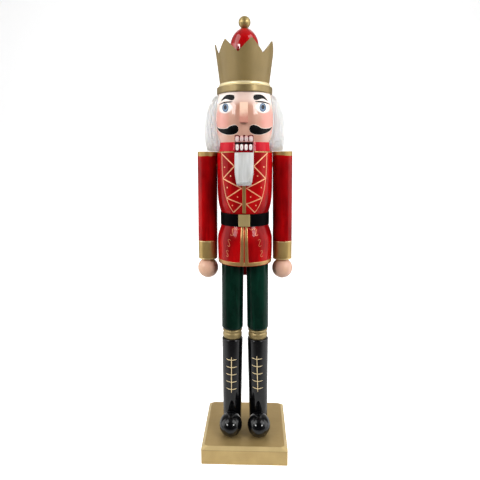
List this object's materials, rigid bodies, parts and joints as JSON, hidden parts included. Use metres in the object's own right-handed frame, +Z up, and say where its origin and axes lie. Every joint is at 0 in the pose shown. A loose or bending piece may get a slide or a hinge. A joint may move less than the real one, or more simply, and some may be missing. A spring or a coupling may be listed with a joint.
{
  "type": "nutcracker figure",
  "caption": "Standing wooden nutcracker king on a square base: lacquered coat, boots, gold crown, fur hair and beard, and a rear lever that opens the jaw.",
  "frame": {"origin": "centre of the base's underside, which is the object's bounding box bottom centre", "axes": "+Z up along the figure; the figure faces -Y; +X is towards the figure's own left arm"},
  "size_m": [0.2047, 0.184, 0.914],
  "materials": {
    "base_gold": "satin metallic gold paint",
    "boot_black": "high gloss black lacquer",
    "knee_gold": "gold paint under clear gloss",
    "trouser_green": "high gloss dark green lacquer",
    "coat_red": "high gloss red lacquer with painted gold lines",
    "sleeve_red": "high gloss red lacquer, gold painted cuff and top edge",
    "belt_black": "gloss black",
    "buckle_gold": "satin metallic gold paint",
    "hand_skin": "satin skin coloured paint",
    "face_skin": "gloss skin coloured lacquer with painted features",
    "nose_skin": "gloss skin coloured lacquer",
    "lever_red": "gloss red lacquer, painted teeth on the jaw's front",
    "beard_fur": "straight white pile fabric",
    "hair_fur": "soft cream white pile fabric",
    "crown_gold": "satin metallic gold paint",
    "dome_red": "high gloss red lacquer",
    "ball_gold": "gold paint under clear gloss",
    "screw_steel": "zinc plated",
    "pin_steel": "bare steel rod",
    "dowel_wood": "bare birch"
  },
  "bodies": {
    "figure": {"base": "base_gold", "base_screws": "screw_steel", "boot_left": "boot_black", "boot_right": "boot_black", "toe_left": "boot_black", "toe_right": "boot_black", "knee_band_left": "knee_gold", "knee_band_right": "knee_gold", "trouser_leg_left": "trouser_green", "trouser_leg_right": "trouser_green", "toe_dowels": "dowel_wood", "knee_dowels": "dowel_wood", "hip_dowels": "dowel_wood", "skirt": "coat_red", "chest": "coat_red", "waist_dowel": "dowel_wood", "belt": "belt_black", "buckle": "buckle_gold", "arm_left": "sleeve_red", "arm_right": "sleeve_red", "hand_left": "hand_skin", "hand_right": "hand_skin", "shoulder_dowels": "dowel_wood", "wrist_dowels": "dowel_wood", "pivot_pin": "pin_steel", "head": "face_skin", "nose": "nose_skin", "hair": "hair_fur", "head_dowels": "dowel_wood", "crown_band": "crown_gold", "crown_shell": "crown_gold", "crown_dome": "dome_red", "crown_dowel": "dowel_wood", "finial_ball": "ball_gold", "finial_dowel": "dowel_wood"},
    "jaw": {"jaw_lever": "lever_red", "beard": "beard_fur"}
  },
  "joints": [
    {"name": "jaw_hinge", "type": "hinge", "parent": "figure", "child": "jaw", "pos_m": [0, 0, 0.582], "axis": [1, 0, 0], "range_deg": [0, 20]}
  ]
}
